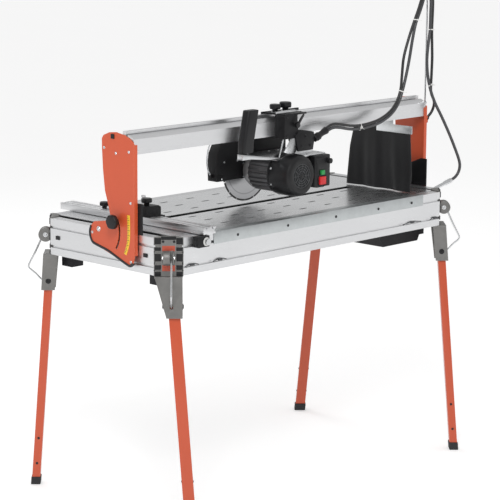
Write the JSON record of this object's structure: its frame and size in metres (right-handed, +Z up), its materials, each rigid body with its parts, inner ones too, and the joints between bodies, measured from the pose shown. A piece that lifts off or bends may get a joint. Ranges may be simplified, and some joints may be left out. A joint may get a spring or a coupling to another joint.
{
  "type": "masonry bridge saw",
  "caption": "Wet-cutting bridge saw: tilting overhead beam with a sliding, plunging motor head and disc, over a slotted table with water tray, fence and folding splayed legs",
  "frame": {"origin": "on the floor under the middle of the frame", "axes": "+Z up, +X along the bridge beam to the side where the hose hangs, -Y towards the operator and the motor"},
  "size_m": [1.7812, 0.8934, 1.8451],
  "materials": {
    "orange_paint": "satin paint",
    "aluminium": "satin extrusion",
    "galvanised": "bright sheet",
    "cast_grey": "cast, matt",
    "steel": "bright",
    "motor_grey": "cast, matt",
    "black_plastic": "matt",
    "black_alloy": "powder coated",
    "rubber": "matt",
    "hose_grey": "satin",
    "blade_steel": "ground",
    "start_green": "gloss",
    "stop_red": "gloss",
    "clear_tube": "translucent",
    "stainless": "brushed"
  },
  "bodies": {
    "frame": {"rail_front": "aluminium", "rail_rear": "aluminium", "rail_left": "aluminium", "rail_right": "aluminium", "corner_fl": "cast_grey", "corner_fr": "cast_grey", "corner_rl": "cast_grey", "corner_rr": "cast_grey", "table": "stainless", "water_tray": "black_plastic", "splash_strip": "galvanised", "fence_rail": "aluminium", "fence_clamp": "black_plastic", "tilt_bracket_left": "black_alloy", "tilt_bracket_right": "black_alloy", "hose_coupling": "steel"},
    "bridge": {"end_plate_left": "orange_paint", "end_plate_right": "orange_paint", "beam": "aluminium", "curtain_strip": "galvanised", "curtain": "rubber", "hose_post": "steel", "power_cable": "rubber", "hose_upper": "hose_grey", "hose_lower": "hose_grey"},
    "carriage": {"carriage": "black_alloy", "stop_rod": "steel", "cable_gland": "black_plastic"},
    "knob_a": {"carriage_knob_a": "black_plastic"},
    "knob_b": {"carriage_knob_b": "black_plastic"},
    "lever": {"lock_lever": "black_plastic"},
    "head": {"head_arm": "aluminium", "grip": "black_plastic", "guard": "black_plastic", "guard_tube": "clear_tube", "motor": "motor_grey", "fan_cover": "black_plastic", "switch_box": "black_plastic"},
    "spindle": {"blade": "blade_steel", "arbor": "steel"},
    "start": {"start_button": "start_green"},
    "stop": {"stop_button": "stop_red"},
    "side_stop": {"fence_stop": "black_plastic"},
    "side_stop_knob": {"stop_knob": "black_plastic"},
    "fence_lock": {"fence_knob": "black_plastic"},
    "clamp_lock": {"clamp_screw": "steel"},
    "tilt_lock_left": {"tilt_knob_left": "black_plastic"},
    "tilt_lock_right": {"tilt_knob_right": "black_plastic"},
    "leg_fl": {"leg_fl": "orange_paint", "foot_fl": "rubber"},
    "latch_fl": {"latch_fl": "steel"},
    "leg_fr": {"leg_fr": "orange_paint", "foot_fr": "rubber"},
    "latch_fr": {"latch_fr": "steel"},
    "leg_rl": {"leg_rl": "orange_paint", "foot_rl": "rubber"},
    "latch_rl": {"latch_rl": "steel"},
    "leg_rr": {"leg_rr": "orange_paint", "foot_rr": "rubber"},
    "latch_rr": {"latch_rr": "steel"}
  },
  "joints": [
    {"name": "bridge_tilt", "type": "hinge", "parent": "frame", "child": "bridge", "pos_m": [0, -0.012, 1.04], "axis": [-1, 0, 0], "range_deg": [0, 45], "deforming": ["curtain"]},
    {"name": "carriage_slide", "type": "slide", "parent": "bridge", "child": "carriage", "axis": [1, 0, 0], "range_m": [-0.34, 0.36], "deforming": ["power_cable", "hose_upper"]},
    {"name": "knob_a_turn", "type": "hinge", "parent": "carriage", "child": "knob_a", "pos_m": [-0.062, -0.168, 1.4048], "axis": [0, 0, 1], "continuous": true},
    {"name": "knob_b_turn", "type": "hinge", "parent": "carriage", "child": "knob_b", "pos_m": [-0.006, -0.168, 1.4048], "axis": [0, 0, 1], "continuous": true},
    {"name": "lever_turn", "type": "hinge", "parent": "carriage", "child": "lever", "pos_m": [-0.034, -0.249, 1.362], "axis": [0, -1, 0], "range_deg": [-45, 45]},
    {"name": "head_plunge", "type": "hinge", "parent": "carriage", "child": "head", "pos_m": [0.075, -0.163, 1.29], "axis": [0, -1, 0], "range_deg": [0, 18]},
    {"name": "blade_spin", "type": "hinge", "parent": "head", "child": "spindle", "pos_m": [-0.054, -0.012, 1.179], "axis": [0, 1, 0], "continuous": true},
    {"name": "start_press", "type": "slide", "parent": "head", "child": "start", "axis": [0, 1, 0], "range_m": [0, 0.003], "stiffness_N_per_m": 400},
    {"name": "stop_press", "type": "slide", "parent": "head", "child": "stop", "axis": [0, 1, 0], "range_m": [0, 0.003], "stiffness_N_per_m": 400},
    {"name": "stop_slide", "type": "slide", "parent": "frame", "child": "side_stop", "axis": [0, 1, 0], "range_m": [-0.25, 0.16]},
    {"name": "stop_knob_turn", "type": "hinge", "parent": "side_stop", "child": "side_stop_knob", "pos_m": [-0.6, -0.046, 1.1045], "axis": [0, 0, 1], "continuous": true},
    {"name": "fence_knob_turn", "type": "hinge", "parent": "frame", "child": "fence_lock", "pos_m": [-0.602, 0.175, 1.067], "axis": [0, 0, 1], "continuous": true},
    {"name": "clamp_screw_turn", "type": "hinge", "parent": "frame", "child": "clamp_lock", "pos_m": [-0.624, -0.372, 1.019], "axis": [0, -1, 0], "continuous": true},
    {"name": "tilt_knob_left_turn", "type": "hinge", "parent": "frame", "child": "tilt_lock_left", "pos_m": [-0.8, -0.11121, 1.08008], "axis": [-1, 0, 0], "continuous": true},
    {"name": "tilt_knob_right_turn", "type": "hinge", "parent": "frame", "child": "tilt_lock_right", "pos_m": [0.8, -0.11121, 1.08008], "axis": [1, 0, 0], "continuous": true},
    {"name": "leg_fold_fl", "type": "hinge", "parent": "frame", "child": "leg_fl", "pos_m": [-0.74, -0.32889, 0.8], "axis": [0.7071, -0.7071, 0], "range_deg": [0, 94]},
    {"name": "latch_swing_fl", "type": "hinge", "parent": "frame", "child": "latch_fl", "pos_m": [-0.76197, -0.33971, 0.966], "axis": [-0.7071, 0.7071, 0], "range_deg": [0, 100]},
    {"name": "leg_fold_fr", "type": "hinge", "parent": "frame", "child": "leg_fr", "pos_m": [0.74, -0.32889, 0.8], "axis": [0.7071, 0.7071, 0], "range_deg": [0, 94]},
    {"name": "latch_swing_fr", "type": "hinge", "parent": "frame", "child": "latch_fr", "pos_m": [0.76197, -0.33971, 0.966], "axis": [-0.7071, -0.7071, 0], "range_deg": [0, 100]},
    {"name": "leg_fold_rl", "type": "hinge", "parent": "frame", "child": "leg_rl", "pos_m": [-0.74, 0.32889, 0.8], "axis": [-0.7071, -0.7071, 0], "range_deg": [0, 86]},
    {"name": "latch_swing_rl", "type": "hinge", "parent": "frame", "child": "latch_rl", "pos_m": [-0.76197, 0.33971, 0.966], "axis": [0.7071, 0.7071, 0], "range_deg": [0, 100]},
    {"name": "leg_fold_rr", "type": "hinge", "parent": "frame", "child": "leg_rr", "pos_m": [0.74, 0.32889, 0.8], "axis": [-0.7071, 0.7071, 0], "range_deg": [0, 86]},
    {"name": "latch_swing_rr", "type": "hinge", "parent": "frame", "child": "latch_rr", "pos_m": [0.76197, 0.33971, 0.966], "axis": [0.7071, -0.7071, 0], "range_deg": [0, 100]}
  ]
}
